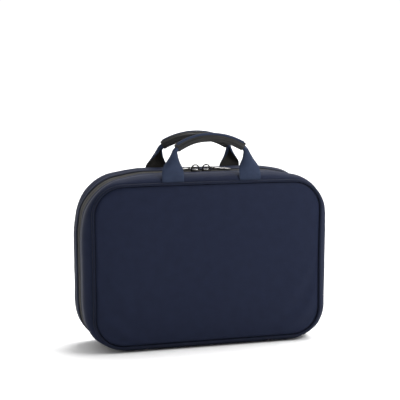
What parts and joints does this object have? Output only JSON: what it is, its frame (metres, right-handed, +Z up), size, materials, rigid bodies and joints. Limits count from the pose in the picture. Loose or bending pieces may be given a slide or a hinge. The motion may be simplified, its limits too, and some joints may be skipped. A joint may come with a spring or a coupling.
{
  "type": "shaving kit bag",
  "caption": "Soft clamshell shaving kit bag standing on its edge, with a zip round the opening, twin carry handles, padded piped panels, a mesh pocket and elastic tool loops.",
  "frame": {"origin": "on the ground under the middle of the bag, as it stands on its bottom gusset", "axes": "+X along the width to the right as the front panel is seen, +Y from front panel to back panel, +Z up"},
  "size_m": [0.2886, 0.082, 0.2449],
  "materials": {
    "navy_softshell": "matte fine softshell twill",
    "navy_piping": "matte",
    "navy_webbing": "matte woven",
    "charcoal_tape": "matte woven",
    "black_coil": "satin",
    "gunmetal": "polished dark plated",
    "charcoal_leather": "fine grain",
    "black_rubber": "satin",
    "foam": "matte",
    "grey_lining": "fine plain weave",
    "black_binding": "ribbed tape",
    "black_mesh": "open knit",
    "black_elastic": "ribbed elastic"
  },
  "bodies": {
    "back_half": {"back_panel": "navy_softshell", "back_panel_foam": "foam", "back_panel_lining": "grey_lining", "back_piping": "navy_piping", "back_gusset": "navy_softshell", "back_gusset_lining": "grey_lining", "back_seam_binding": "black_binding", "back_zip_tape": "charcoal_tape", "back_zip_coil": "black_coil", "back_handle_foot_left": "navy_webbing", "back_handle_foot_right": "navy_webbing", "bottom_gusset": "navy_softshell", "bottom_gusset_lining": "grey_lining", "zip_end_tab_left": "charcoal_tape", "zip_end_tab_right": "charcoal_tape", "loop_backing": "black_binding", "elastic_loops": "black_elastic"},
    "front_half": {"front_panel": "navy_softshell", "front_panel_foam": "foam", "front_panel_lining": "grey_lining", "front_piping": "navy_piping", "front_gusset": "navy_softshell", "front_gusset_lining": "grey_lining", "front_seam_binding": "black_binding", "front_zip_tape": "charcoal_tape", "front_zip_coil": "black_coil", "front_handle_foot_left": "navy_webbing", "front_handle_foot_right": "navy_webbing", "pocket_mesh": "black_mesh", "pocket_zip_tape": "charcoal_tape", "pocket_zip_coil": "black_coil", "pocket_top_binding": "black_binding"},
    "left_slider": {"left_slider": "gunmetal"},
    "left_puller": {"left_puller_blade": "gunmetal", "left_puller_backing": "black_rubber"},
    "right_slider": {"right_slider": "gunmetal"},
    "right_puller": {"right_puller_blade": "gunmetal", "right_puller_backing": "black_rubber"},
    "front_handle": {"front_handle_webbing": "navy_webbing", "front_handle_grip": "charcoal_leather"},
    "back_handle": {"back_handle_webbing": "navy_webbing", "back_handle_grip": "charcoal_leather"},
    "pocket_slider": {"pocket_slider": "gunmetal"},
    "pocket_puller": {"pocket_puller": "gunmetal"}
  },
  "joints": [
    {"name": "front_half_hinge", "type": "hinge", "parent": "back_half", "child": "front_half", "pos_m": [0, -0.037, 0.005], "axis": [1, 0, 0], "range_deg": [0, 90]},
    {"name": "left_slider_travel", "type": "slide", "parent": "back_half", "child": "left_slider", "axis": [-1, 0, 0], "range_m": [0, 0.07]},
    {"name": "right_slider_travel", "type": "slide", "parent": "back_half", "child": "right_slider", "axis": [1, 0, 0], "range_m": [0, 0.07]},
    {"name": "left_puller_flip", "type": "hinge", "parent": "left_slider", "child": "left_puller", "pos_m": [-0.0065, 0, 0.2022], "axis": [0, 1, 0], "range_deg": [0, 110]},
    {"name": "right_puller_flip", "type": "hinge", "parent": "right_slider", "child": "right_puller", "pos_m": [0.0065, 0, 0.2022], "axis": [0, -1, 0], "range_deg": [0, 110]},
    {"name": "front_handle_fold", "type": "hinge", "parent": "front_half", "child": "front_handle", "pos_m": [0, -0.03625, 0.19575], "axis": [-1, 0, 0], "range_deg": [-155, 15]},
    {"name": "back_handle_fold", "type": "hinge", "parent": "back_half", "child": "back_handle", "pos_m": [0, 0.03625, 0.19575], "axis": [1, 0, 0], "range_deg": [-155, 10]},
    {"name": "pocket_slider_travel", "type": "slide", "parent": "front_half", "child": "pocket_slider", "axis": [-1, 0, 0], "range_m": [0, 0.22]},
    {"name": "pocket_puller_flip", "type": "hinge", "parent": "pocket_slider", "child": "pocket_puller", "pos_m": [0.10835, -0.0266, 0.1383], "axis": [0, 0, -1], "range_deg": [0, 170]}
  ]
}
